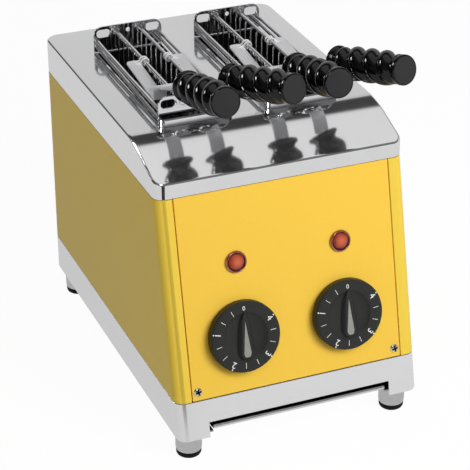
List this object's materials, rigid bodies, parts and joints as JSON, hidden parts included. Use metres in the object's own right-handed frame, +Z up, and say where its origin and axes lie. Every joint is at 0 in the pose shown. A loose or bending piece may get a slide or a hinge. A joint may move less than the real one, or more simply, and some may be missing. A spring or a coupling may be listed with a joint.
{
  "type": "two-slot sandwich toaster",
  "caption": "Commercial slot toaster with a sloping front panel, timer knobs, lamps, a crumb tray and lift-out sprung grid tongs with twisted handles.",
  "frame": {"origin": "middle of the overall box, on the surface that the feet stand on", "axes": "+Z up, +Y from the control panel to the back, +X to the right as seen from the front"},
  "size_m": [0.195, 0.303, 0.2962],
  "materials": {
    "polished_steel": "polished stainless steel",
    "satin_steel": "satin stainless steel",
    "inner_steel": "dull inner sheet steel",
    "yellow_paint": "metallic yellow, satin",
    "black_plastic": "black phenolic, glossy",
    "grey_plastic": "grey, matte",
    "black_rubber": "black, matte",
    "red_lens": "dark red, clear",
    "quartz_glass": "milky quartz",
    "white_ceramic": "white ceramic and heat-proof moulding"
  },
  "bodies": {
    "body": {"base_frame": "polished_steel", "base_pan": "satin_steel", "front_left_foot": "satin_steel", "front_right_foot": "satin_steel", "rear_left_foot": "satin_steel", "rear_right_foot": "satin_steel", "front_left_foot_pad": "black_rubber", "front_right_foot_pad": "black_rubber", "rear_left_foot_pad": "black_rubber", "rear_right_foot_pad": "black_rubber", "casing": "yellow_paint", "front_panel": "yellow_paint", "left_panel_screw": "satin_steel", "right_panel_screw": "satin_steel", "top_cover": "polished_steel", "heating_chamber": "inner_steel", "upper_left_quartz_tube": "quartz_glass", "lower_left_quartz_tube": "quartz_glass", "upper_middle_quartz_tube": "quartz_glass", "lower_middle_quartz_tube": "quartz_glass", "upper_right_quartz_tube": "quartz_glass", "lower_right_quartz_tube": "quartz_glass", "front_left_ceramic_strip": "white_ceramic", "rear_left_ceramic_strip": "white_ceramic", "front_middle_ceramic_strip": "white_ceramic", "rear_middle_ceramic_strip": "white_ceramic", "front_right_ceramic_strip": "white_ceramic", "rear_right_ceramic_strip": "white_ceramic", "left_timer": "white_ceramic", "right_timer": "white_ceramic", "left_lamp_bezel": "polished_steel", "right_lamp_bezel": "polished_steel", "left_lamp_lens": "red_lens", "right_lamp_lens": "red_lens", "cord_gland": "black_plastic", "terminal_block": "white_ceramic"},
    "left_dial": {"left_knob": "black_plastic", "left_knob_insert": "grey_plastic", "left_timer_shaft": "satin_steel"},
    "right_dial": {"right_knob": "black_plastic", "right_knob_insert": "grey_plastic", "right_timer_shaft": "satin_steel"},
    "tray": {"crumb_tray": "satin_steel"},
    "left_tong": {"left_tong_frame": "polished_steel"},
    "left_tong_left_half": {"left_tong_left_jaw": "satin_steel", "left_tong_left_lever": "satin_steel", "left_tong_left_handle": "black_plastic"},
    "left_tong_right_half": {"left_tong_right_jaw": "satin_steel", "left_tong_right_lever": "satin_steel", "left_tong_right_handle": "black_plastic"},
    "right_tong": {"right_tong_frame": "polished_steel"},
    "right_tong_left_half": {"right_tong_left_jaw": "satin_steel", "right_tong_left_lever": "satin_steel", "right_tong_left_handle": "black_plastic"},
    "right_tong_right_half": {"right_tong_right_jaw": "satin_steel", "right_tong_right_lever": "satin_steel", "right_tong_right_handle": "black_plastic"}
  },
  "joints": [
    {"name": "left_knob_turn", "type": "hinge", "parent": "body", "child": "left_dial", "pos_m": [-0.0415, -0.13536, 0.0942], "axis": [0, 0.9759, -0.2181], "range_deg": [0, 300]},
    {"name": "right_knob_turn", "type": "hinge", "parent": "body", "child": "right_dial", "pos_m": [0.0415, -0.13536, 0.0942], "axis": [0, 0.9759, -0.2181], "range_deg": [0, 300]},
    {"name": "crumb_tray_slide", "type": "slide", "parent": "body", "child": "tray", "axis": [0, -1, 0], "range_m": [0, 0.24]},
    {"name": "left_tong_lift", "type": "slide", "parent": "body", "child": "left_tong", "axis": [0, 0, 1], "range_m": [0, 0.11]},
    {"name": "left_tong_left_jaw_hinge", "type": "hinge", "parent": "left_tong", "child": "left_tong_left_half", "pos_m": [-0.0522, 0.0235, 0.2458], "axis": [0, 1, 0], "range_deg": [0, 7], "stiffness_Nm_per_rad": 0.5, "springref_deg": -6.88},
    {"name": "left_tong_right_jaw_hinge", "type": "hinge", "parent": "left_tong", "child": "left_tong_right_half", "pos_m": [-0.0326, 0.0235, 0.2458], "axis": [0, -1, 0], "range_deg": [0, 7], "stiffness_Nm_per_rad": 0.5, "springref_deg": -6.88},
    {"name": "right_tong_lift", "type": "slide", "parent": "body", "child": "right_tong", "axis": [0, 0, 1], "range_m": [0, 0.11]},
    {"name": "right_tong_left_jaw_hinge", "type": "hinge", "parent": "right_tong", "child": "right_tong_left_half", "pos_m": [0.0326, 0.0235, 0.2458], "axis": [0, 1, 0], "range_deg": [0, 7], "stiffness_Nm_per_rad": 0.5, "springref_deg": -6.88},
    {"name": "right_tong_right_jaw_hinge", "type": "hinge", "parent": "right_tong", "child": "right_tong_right_half", "pos_m": [0.0522, 0.0235, 0.2458], "axis": [0, -1, 0], "range_deg": [0, 7], "stiffness_Nm_per_rad": 0.5, "springref_deg": -6.88}
  ],
  "couplings": [
    {"joint": "left_tong_right_jaw_hinge", "follows": "left_tong_left_jaw_hinge", "ratio": 1},
    {"joint": "right_tong_right_jaw_hinge", "follows": "right_tong_left_jaw_hinge", "ratio": 1}
  ]
}
